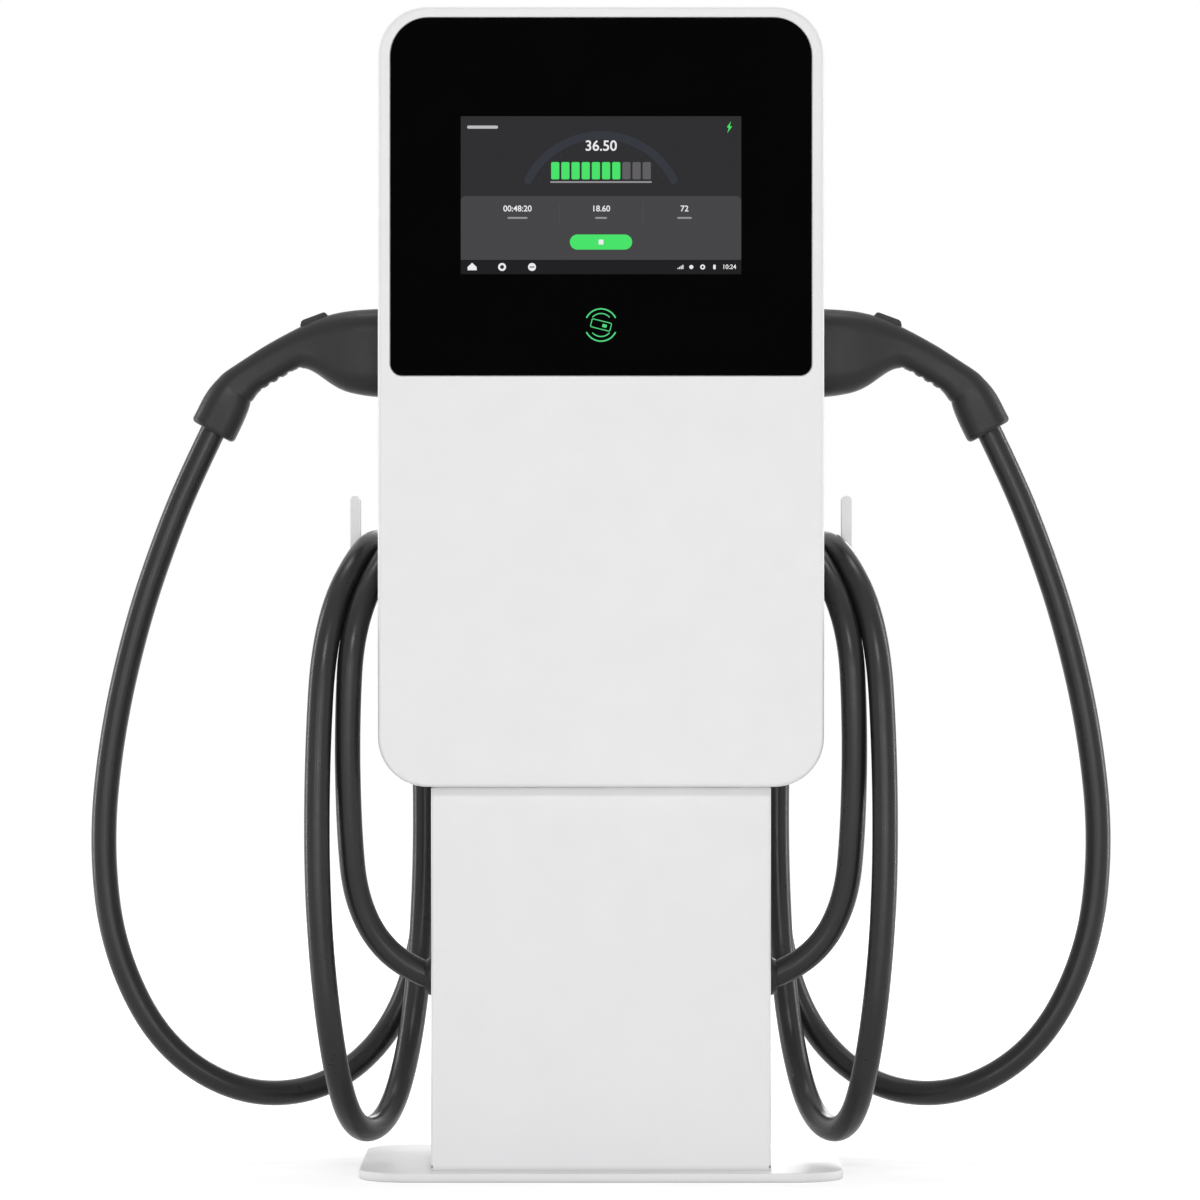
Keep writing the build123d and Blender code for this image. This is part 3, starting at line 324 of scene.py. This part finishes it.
def circuit_board(name):
    """Green solder mask over faint copper areas."""
    shader = Shader(name, IOR=1.5)
    tone = shader.spread(shader.cells(160.0), (0.010, 0.10, 0.045), (0.015, 0.15, 0.07), 0.25, 0.5)
    shader.drive("Base Color", tone)
    shader.drive("Roughness", shader.spread(shader.noise(200.0), 0.25, 0.4))
    return shader.material


def foam(name):
    """Open-cell filter foam, with painted shade darkening its pores."""
    shader = Shader(name, Roughness=0.95, Specular_IOR_Level=0.1)
    holes = shader.cells(420.0)
    # painted shade: the base colour is darker in the pores that the bump sinks
    shader.drive("Base Color", shader.spread(holes, 0.02, 0.09, start=0.2, stop=0.6))
    shader.bump((holes, 0.8 * MM))
    return shader.material


def lit(name, low, high):
    """A lit area of the display: it glows between two close colours in a fine grain."""
    black = (*grey(0.0), 1)
    shader = Shader(name, Base_Color=black, Roughness=0.08, IOR=1.5, Specular_IOR_Level=0.06)
    shader.principled.inputs["Emission Strength"].default_value = 1.0
    shader.drive("Emission Color", shader.spread(shader.noise(900.0, detail=1.0), low, high))
    return shader.material


def level(value):
    """Linear light of a screen grey from 0 to 255, by the sRGB curve."""
    share = value / 255
    return ((share + 0.055) / 1.055) ** 2.4 if share > 0.04045 else share / 12.92


def tint(red, green, blue):
    """Linear colour of a screen colour with channels from 0 to 255."""
    return (level(red), level(green), level(blue))


WHITE = (0.81, 0.805, 0.815)
MATERIALS = {
    "white_paint": powder_coat("white_powder_coat", WHITE, 0.4),
    "black_glass": black_glass("black_cover_glass"),
    "cable_jacket": cable_jacket("cable_jacket"),
    "black_plastic": moulded("connector_plastic", grey(0.022), roughness=0.4),
    "insert_plastic": moulded("insert_plastic", (0.022, 0.022, 0.024), roughness=0.4),
    "gasket_rubber": moulded("gasket_rubber", grey(0.012), roughness=0.8),
    "zinc_steel": metal("zinc_plated_steel", (0.60, 0.61, 0.62), 0.36),
    "aluminium": metal("milled_aluminium", (0.76, 0.77, 0.78), 0.34, stretch=(0.05, 1, 1)),
    "silver_contact": metal("silver_plated_contact", (0.83, 0.81, 0.78), 0.22),
    "circuit_green": circuit_board("solder_mask"),
    "device_grey": moulded("device_plastic", (0.33, 0.34, 0.35)),
    "filter_foam": foam("filter_foam"),
}

# Colours of the display's areas, with channels from 0 to 255.
SCREEN_COLOURS = {
    "white": (238, 238, 240),
    "dim": (150, 150, 153),
    "green": (72, 228, 106),
    "back": (45, 45, 47),
    "dial": (52, 55, 62),
    "cell": (96, 94, 96),
    "title": (190, 190, 192),
    "card": (68, 68, 70),
    "rule": (80, 80, 82),
    "foot": (27, 27, 29),
    "hole": (40, 40, 42),
}
GLOWS = {
    name: lit(f"display_{name}", darker(tint(*colour), 0.96), tint(*colour))
    for name, colour in SCREEN_COLOURS.items()
}


def finish_nodes():
    """Give every CAD node the material of its slot."""
    for entry in frame["record"]["subparts"]:
        dress(frame["nodes"][entry["node"]].data, MATERIALS[entry["material_slot"]])


# ---------------------------------------------------------------- cables
def cable(side_name, side):
    """One charging cable: a jacketed tube along a smooth spline, from its gland to its connector."""
    curve = bpy.data.curves.new(f"cable_{side_name}_line", "CURVE")
    curve.dimensions = "3D"
    curve.resolution_u = CABLE_STEPS_ALONG
    spline = curve.splines.new("NURBS")
    spline.points.add(len(CABLE_ROUTE) - 1)
    for point, (x, y, z) in zip(spline.points, CABLE_ROUTE):
        point.co = (-side * x * MM, y * MM, z * MM, 1)
    spline.order_u = 3
    spline.use_endpoint_u = True
    line = add_object(f"cable_{side_name}_line", curve)
    centre = bpy.data.meshes.new_from_object(line)
    curve.bevel_depth = CABLE_DIAMETER / 2
    curve.bevel_resolution = CABLE_STEPS_ROUND
    curve.use_fill_caps = True
    tube = add_object(f"charging_cable_{side_name}", bpy.data.meshes.new_from_object(line))
    bpy.data.objects.remove(line)
    dress(tube.data, MATERIALS["cable_jacket"], keep_edges=False)
    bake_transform(tube)
    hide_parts(f"cable_{side_name}")


# ---------------------------------------------------------------- latch springs
def latch_spring(side_name):
    """Leaf under a latch, cut into slices along its length."""
    node = frame["nodes"][f"connector_{side_name}_latch_spring"]
    low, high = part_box(node.name)
    leaf = bmesh.new()
    leaf.from_mesh(node.data)
    leaf.transform(node.matrix_world)
    for index in range(1, LEAF_SLICES):
        cut_x = low.x + (high.x - low.x) * index / LEAF_SLICES
        everything = leaf.verts[:] + leaf.edges[:] + leaf.faces[:]
        bmesh.ops.bisect_plane(leaf, geom=everything, plane_co=(cut_x, 0, 0), plane_no=(1, 0, 0))
    mesh = bpy.data.meshes.new(f"latch_leaf_{side_name}")
    leaf.to_mesh(mesh)
    leaf.free()
    dress(mesh, MATERIALS["zinc_steel"])
    piece = add_object(f"latch_leaf_{side_name}", mesh)
    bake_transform(piece)
    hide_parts(node.name)


# ---------------------------------------------------------------- outlines on the glass
# An outline is a list of (x, z) in millimetres, seen from the front, from the screen's middle.
ARC_STEPS = 24
END_STEPS = 8
DISC_LAST_ANGLE = 345  # a disc's last corner; the side from there to its first one closes it


def on_circle(x, z, radius, degrees):
    """The point of a circle at an angle."""
    angle = math.radians(degrees)
    return (x + radius * math.cos(angle), z + radius * math.sin(angle))


def arc(x, z, radius, start, stop, steps=ARC_STEPS):
    """Points of an arc, its angles in degrees."""
    angles = [start + (stop - start) * step / steps for step in range(steps + 1)]
    return [on_circle(x, z, radius, degrees) for degrees in angles]


def disc(x, z, radius, steps=15):
    """Outline of a small disc."""
    return arc(x, z, radius, 0, DISC_LAST_ANGLE, steps)


def rounded(x, z, width, height, radius, corners=(True, True, True, True)):
    """Outline of a rectangle. Corners say which are round, from the top right, anticlockwise."""
    half_w, half_h = width / 2, height / 2
    points = []
    for index, (sx, sz) in enumerate(((1, 1), (-1, 1), (-1, -1), (1, -1))):
        if corners[index]:
            middle = (x + sx * (half_w - radius), z + sz * (half_h - radius))
            points += arc(*middle, radius, 90 * index, 90 * index + 90, END_STEPS)
        else:
            points.append((x + sx * half_w, z + sz * half_h))
    return points


def band(x, z, radius, width, start, stop):
    """Outline of a round-ended stroke along an arc."""
    outer = arc(x, z, radius + width / 2, start, stop)
    far_end = arc(*on_circle(x, z, radius, stop), width / 2, stop, stop + 180, END_STEPS)
    inner = arc(x, z, radius - width / 2, stop, start)
    near_end = arc(*on_circle(x, z, radius, start), width / 2, start + 180, start + 360, END_STEPS)
    return outer + far_end[1:-1] + inner + near_end[1:-1]


def turned(outline, x, z, degrees):
    """An outline turned about a point."""
    cosine = math.cos(math.radians(degrees))
    sine = math.sin(math.radians(degrees))
    return [
        (x + (px - x) * cosine - (pz - z) * sine, z + (px - x) * sine + (pz - z) * cosine)
        for px, pz in outline
    ]


# ---------------------------------------------------------------- layers on the glass
GLASS_LOW, GLASS_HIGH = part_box("glass_panel")
GLASS_FRONT = GLASS_LOW.y
SCREEN_LIFT = 1.5 * MM  # the screen's middle above the glass's
SCREEN_MIDDLE = (GLASS_LOW.z + GLASS_HIGH.z) / 2 + SCREEN_LIFT
LAYER = 0.05 * MM  # the printed and lit layers lie this far apart, in front of the glass
LAYER_SOLID = 0.6  # thickness of a layer's solids, as a share of LAYER
DIGIT_HEIGHT = 0.72  # of a digit, as a share of its font's size
DIGIT_WEIGHT = 0.018  # added round a digit's strokes, as a share of its height


def thin_solid(build, outline, layer):
    """Add a thin closed solid to a bmesh, standing on its layer in front of the glass."""
    front = GLASS_FRONT - (layer + 1) * LAYER
    corners = [build.verts.new((x * MM, front, SCREEN_MIDDLE + z * MM)) for x, z in outline]
    face = build.faces.new(corners)
    made = bmesh.ops.extrude_face_region(build, geom=[face])
    moved = [item for item in made["geom"] if isinstance(item, bmesh.types.BMVert)]
    bmesh.ops.translate(build, verts=moved, vec=(0, LAYER * LAYER_SOLID, 0))


def thin_number(build, layer, text, x, z, height, align):
    """Add a number's digits to a bmesh, as thick as the solids of its layer."""
    curve = bpy.data.curves.new("number", "FONT")
    curve.body = text
    curve.align_x = align
    curve.align_y = "CENTER"
    curve.size = height * MM / DIGIT_HEIGHT
    curve.offset = height * MM * DIGIT_WEIGHT
    curve.extrude = LAYER * LAYER_SOLID / 2
    holder = add_object("number", curve)
    mesh = bpy.data.meshes.new_from_object(holder)
    middle = GLASS_FRONT - (layer + 1 - LAYER_SOLID / 2) * LAYER
    place = Matrix.Translation((x * MM, middle, SCREEN_MIDDLE + z * MM))
    mesh.transform(place @ Matrix.Rotation(math.radians(90), 4, "X"))
    build.from_mesh(mesh)
    bpy.data.objects.remove(holder)
    bpy.data.meshes.remove(mesh)


def layer_piece(name, outlines, layer, material, numbers=()):
    """One named piece: outlines and numbers on one layer in one material.
    Each number is (text, x, z, height, alignment)."""
    build = bmesh.new()
    for outline in outlines:
        thin_solid(build, outline, layer)
    for number in numbers:
        thin_number(build, layer, *number)
    bmesh.ops.recalc_face_normals(build, faces=build.faces)
    mesh = bpy.data.meshes.new(name)
    build.to_mesh(mesh)
    build.free()
    mesh.materials.append(material)
    piece = add_object(name, mesh)
    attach(piece, "post")


# ---------------------------------------------------------------- the display, in millimetres
SCREEN_WIDTH = 309
SCREEN_HEIGHT = 174
SCREEN_RIGHT = SCREEN_WIDTH / 2
SCREEN_TOP = SCREEN_HEIGHT / 2

DIAL_Z = -24
DIAL_R = 90
DIAL_WIDTH = 9
DIAL_ENDS = (27, 153)
TICK_ANGLES = range(33, 148, 6)

CELL_COUNT = 10
CELLS_FULL = 7
CELL_PITCH = 11.2
CELL_Z = 27
CELLS_FOOT_Z = 14.5

BOLT = [(-1.4, 0.4), (2.2, 5.4), (1.0, 1.2), (3.0, 1.0), (-1.0, -4.6), (0.2, -0.2)]
BOLT_SCALE = 1.3
BOLT_PLACE = (SCREEN_RIGHT - 14, SCREEN_TOP - 12.5)

FOOT_HEIGHT = 15.8
FOOT_Z = -SCREEN_TOP + FOOT_HEIGHT / 2
CARD_TOP = -1
CARD_LOW = -SCREEN_TOP + FOOT_HEIGHT
READINGS = [("00:48:20", -92, 22), ("18.60", 0, 13), ("72", 92, 16)]  # text, x, its bar's width
READING_Z = -15
BAR_Z = -25
RULE_X = (-46, 46)
RULE_Z = -20
BUTTON_Z = -51.6

RING_X = -109
DASH_X = -76
DOT_X = 99.5
EYE_X = 112


def dial_and_number():
    """The screen's ground, a faint dial on it, and a number over the dial."""
    ground = rounded(0, 0, SCREEN_WIDTH, SCREEN_HEIGHT, 0.6)
    layer_piece("display_back", [ground], 0, GLOWS["back"])
    dial = [band(0, DIAL_Z, DIAL_R, DIAL_WIDTH, *DIAL_ENDS)]
    tick = rounded(DIAL_R - DIAL_WIDTH, DIAL_Z, 3, 0.8, 0.3)
    dial += [turned(tick, 0, DIAL_Z, angle) for angle in TICK_ANGLES]
    layer_piece("display_dial", dial, 1, GLOWS["dial"])
    layer_piece("display_number", [], 2, GLOWS["white"], [("36.50", 0, 54, 11.5, "CENTER")])


def level_in_cells():
    """A row of cells, full ones and empty ones, over a thin bar."""
    middle = (CELL_COUNT - 1) / 2
    places = [(index - middle) * CELL_PITCH for index in range(CELL_COUNT)]
    cells = [rounded(x, CELL_Z, 9, 19, 1.6) for x in places]
    layer_piece("display_cells_full", cells[:CELLS_FULL], 2, GLOWS["green"])
    layer_piece("display_cells_empty", cells[CELLS_FULL:], 2, GLOWS["cell"])
    bar = rounded(0, CELLS_FOOT_Z, CELL_COUNT * CELL_PITCH, 1.8, 0.9)
    layer_piece("display_cells_foot", [bar], 2, GLOWS["dim"])


def header_signs():
    """A bolt at the top right and a plain bar in place of a title."""
    bolt_x, bolt_z = BOLT_PLACE
    bolt = [(bolt_x + BOLT_SCALE * x, bolt_z + BOLT_SCALE * z) for x, z in BOLT]
    layer_piece("display_bolt", [bolt], 2, GLOWS["green"])
    title = rounded(-SCREEN_RIGHT + 24, SCREEN_TOP - 12, 34, 3.4, 1.7)
    layer_piece("display_title", [title], 2, GLOWS["title"])


def reading_card():
    """A card with three readings over plain bars, and a button with a square on it."""
    card_z, card_height = (CARD_TOP + CARD_LOW) / 2, CARD_TOP - CARD_LOW
    card = rounded(0, card_z, SCREEN_WIDTH, card_height, 5, corners=(True, True, False, False))
    layer_piece("display_card", [card], 1, GLOWS["card"])
    numbers = [(text, x, READING_Z, 6.6, "CENTER") for text, x, _ in READINGS]
    layer_piece("display_readings", [], 2, GLOWS["white"], numbers)
    bars = [rounded(x, BAR_Z, width, 2, 0.9) for _, x, width in READINGS]
    layer_piece("display_labels", bars, 2, GLOWS["dim"])
    rules = [rounded(x, RULE_Z, 0.5, 22, 0.2) for x in RULE_X]
    layer_piece("display_rules", rules, 2, GLOWS["rule"])
    layer_piece("display_button", [rounded(0, BUTTON_Z, 68.6, 16.6, 8.2)], 2, GLOWS["green"])
    square = rounded(0, BUTTON_Z, 5.4, 5.4, 0.8)
    layer_piece("display_button_sign", [square], 3, GLOWS["white"])


def screen_foot():
    """A dark strip along the screen's foot with plain signs and a time."""
    strip = rounded(0, FOOT_Z, SCREEN_WIDTH, FOOT_HEIGHT, 0.3)
    layer_piece("display_foot", [strip], 1, GLOWS["foot"])
    house = [(-147, -3.6), (-137, -3.6), (-137, 0), (-142, 4.6), (-147, 0)]
    signs = [disc(x, FOOT_Z, 4.4, steps=23) for x in (RING_X, DASH_X)]
    signs.append([(x, FOOT_Z + z) for x, z in house])
    for index in range(4):
        height = 1.2 + index * 1.1
        signs.append(rounded(84.8 + index * 1.8, FOOT_Z - 2.2 + height / 2, 1.2, height, 0.3))
    signs.append(disc(DOT_X, FOOT_Z, 2.3))
    signs.append(disc(EYE_X, FOOT_Z, 2.8))
    signs.append(rounded(125, FOOT_Z, 2.8, 5, 0.8))
    layer_piece("display_signs", signs, 2, GLOWS["white"], [("10:24", 149, FOOT_Z, 5, "RIGHT")])
    holes = [disc(RING_X, FOOT_Z, 2.2), disc(EYE_X, FOOT_Z, 1.3, steps=12)]
    holes.append(rounded(DASH_X, FOOT_Z, 5.4, 1.2, 0.5))
    layer_piece("display_sign_holes", holes, 3, GLOWS["hole"])


def display():
    """A generic charging display: a level in cells under a number, three readings on a card,
    one button and a row of plain signs."""
    dial_and_number()
    level_in_cells()
    header_signs()
    reading_card()
    screen_foot()


# ---------------------------------------------------------------- the reader's sign, in millimetres
SIGN_Z = -143
SIGN_TILT = -14
SIGN_ARCS = [(17.8, 1.5, 62), (12.7, 1.2, 46)]  # radius, stroke, degrees to each side of its middle
SIGN_CARD_WIDTH = 22
SIGN_CARD_HEIGHT = 9
SIGN_LINE = 1
SIGN_CORNER = 1.5
SIGN_TRIM = 2  # the card's straight strokes are this much shorter than its sides


def reader_sign():
    """Generic sign for the card reader: a tilted card between pairs of arcs."""
    green = lit("reader_green", tint(70, 205, 118), tint(96, 226, 140))
    arcs = [
        band(0, SIGN_Z, radius, width, middle - reach, middle + reach)
        for radius, width, reach in SIGN_ARCS
        for middle in (90, 270)
    ]
    layer_piece("reader_arcs", arcs, 0, green)
    half_w, half_h = SIGN_CARD_WIDTH / 2, SIGN_CARD_HEIGHT / 2
    end_radius = SIGN_LINE / 2.1  # just under half of the stroke's width
    long_side, short_side = SIGN_CARD_WIDTH - SIGN_TRIM, SIGN_CARD_HEIGHT - SIGN_TRIM
    strokes = [
        rounded(0, SIGN_Z + half_h, long_side, SIGN_LINE, end_radius),
        rounded(0, SIGN_Z - half_h, long_side, SIGN_LINE, end_radius),
        rounded(-half_w, SIGN_Z, SIGN_LINE, short_side, end_radius),
        rounded(half_w, SIGN_Z, SIGN_LINE, short_side, end_radius),
        rounded(4, SIGN_Z, 5, 3.6, 0.8),  # the chip
    ]
    for sx, sz, start in ((-1, -1, 180), (-1, 1, 90), (1, -1, 270), (1, 1, 0)):
        x = sx * (half_w - SIGN_CORNER)
        z = SIGN_Z + sz * (half_h - SIGN_CORNER)
        strokes.append(band(x, z, SIGN_CORNER, SIGN_LINE, start, start + 90))
    card = [turned(stroke, 0, SIGN_Z, SIGN_TILT) for stroke in strokes]
    layer_piece("reader_card", card, 0, green)


# ---------------------------------------------------------------- stage, light and camera
def camera():
    """Straight in front, near the post's middle height, with a long lens."""
    data = bpy.data.cameras.new("camera")
    data.sensor_width = CAMERA_SENSOR
    data.lens = CAMERA_LENS
    data.shift_x = CAMERA_SHIFT_X
    data.clip_end = CAMERA_CLIP_END
    made = add_object("camera", data)
    made.location = CAMERA_PLACE
    made.rotation_euler = (math.radians(90), 0, 0)
    bpy.context.scene.camera = made


def area_light(name, place, aim, size, power):
    data = bpy.data.lights.new(name, "AREA")
    data.shape = "RECTANGLE"
    data.size, data.size_y = size
    data.energy = power
    made = add_object(name, data)
    made.location = place
    direction = Vector(aim) - Vector(place)
    made.rotation_euler = direction.to_track_quat("-Z", "Y").to_euler()


def world():
    """Soft grey surround that looks white to the camera and in glossy reflections."""
    made = bpy.data.worlds.new("studio")
    bpy.context.scene.world = made
    graph = Graph(made)
    graph.nodes.clear()
    white = (*grey(1.0), 1)
    soft = graph.node("ShaderNodeBackground", Color=white, Strength=SURROUND_STRENGTH)
    bright = graph.node("ShaderNodeBackground", Color=white, Strength=BACKDROP_STRENGTH)
    mix = graph.node("ShaderNodeMixShader")
    output = graph.node("ShaderNodeOutputWorld")
    graph.link(graph.seen_directly(), mix.inputs["Fac"])
    graph.link(soft.outputs[0], mix.inputs[1])
    graph.link(bright.outputs[0], mix.inputs[2])
    graph.link(mix.outputs[0], output.inputs["Surface"])


def floor():
    """A plain pale floor that keeps the post's soft shadow and meets the backdrop unseen."""
    mesh = bpy.data.meshes.new("floor")
    corners = ((-1, -1), (1, -1), (1, 1), (-1, 1))
    mesh.from_pydata([(x * FLOOR_HALF, y * FLOOR_HALF, 0) for x, y in corners], [], [(0, 1, 2, 3)])
    made = add_object("floor", mesh)
    material = bpy.data.materials.new("floor")
    graph = Graph(material)
    graph.nodes.clear()
    diffuse = graph.node("ShaderNodeBsdfDiffuse", Color=(*grey(FLOOR_SHADE), 1))
    # the glow is weaker round the foot, where the lamps light the floor and the shadow lies
    place = graph.node("ShaderNodeNewGeometry")
    distance = graph.node("ShaderNodeVectorMath", operation="LENGTH")
    graph.link(place.outputs["Position"], distance.inputs[0])
    reach = graph.node(
        "ShaderNodeMapRange",
        interpolation_type="SMOOTHSTEP",
        From_Min=GLOW_NEAR_RADIUS,
        From_Max=GLOW_FAR_RADIUS,
        To_Min=GLOW_NEAR,
        To_Max=GLOW_FAR,
    )
    graph.link(distance.outputs["Value"], reach.inputs["Value"])
    strength = graph.node("ShaderNodeMath", operation="MULTIPLY")
    graph.link(reach.outputs["Result"], strength.inputs[0])
    graph.link(graph.seen_directly(), strength.inputs[1])
    glow = graph.node("ShaderNodeEmission")
    graph.link(strength.outputs[0], glow.inputs["Strength"])
    both = graph.node("ShaderNodeAddShader")
    output = graph.node("ShaderNodeOutputMaterial")
    graph.link(diffuse.outputs[0], both.inputs[0])
    graph.link(glow.outputs[0], both.inputs[1])
    graph.link(both.outputs[0], output.inputs["Surface"])
    mesh.materials.append(material)


finish_nodes()
for name_of_side, side_sign in SIDES.items():
    cable(name_of_side, side_sign)
    latch_spring(name_of_side)
display()
reader_sign()
camera()
world()
for lamp in LAMPS:
    area_light(*lamp)
floor()

scene = bpy.context.scene
scene.view_settings.view_transform = "Standard"
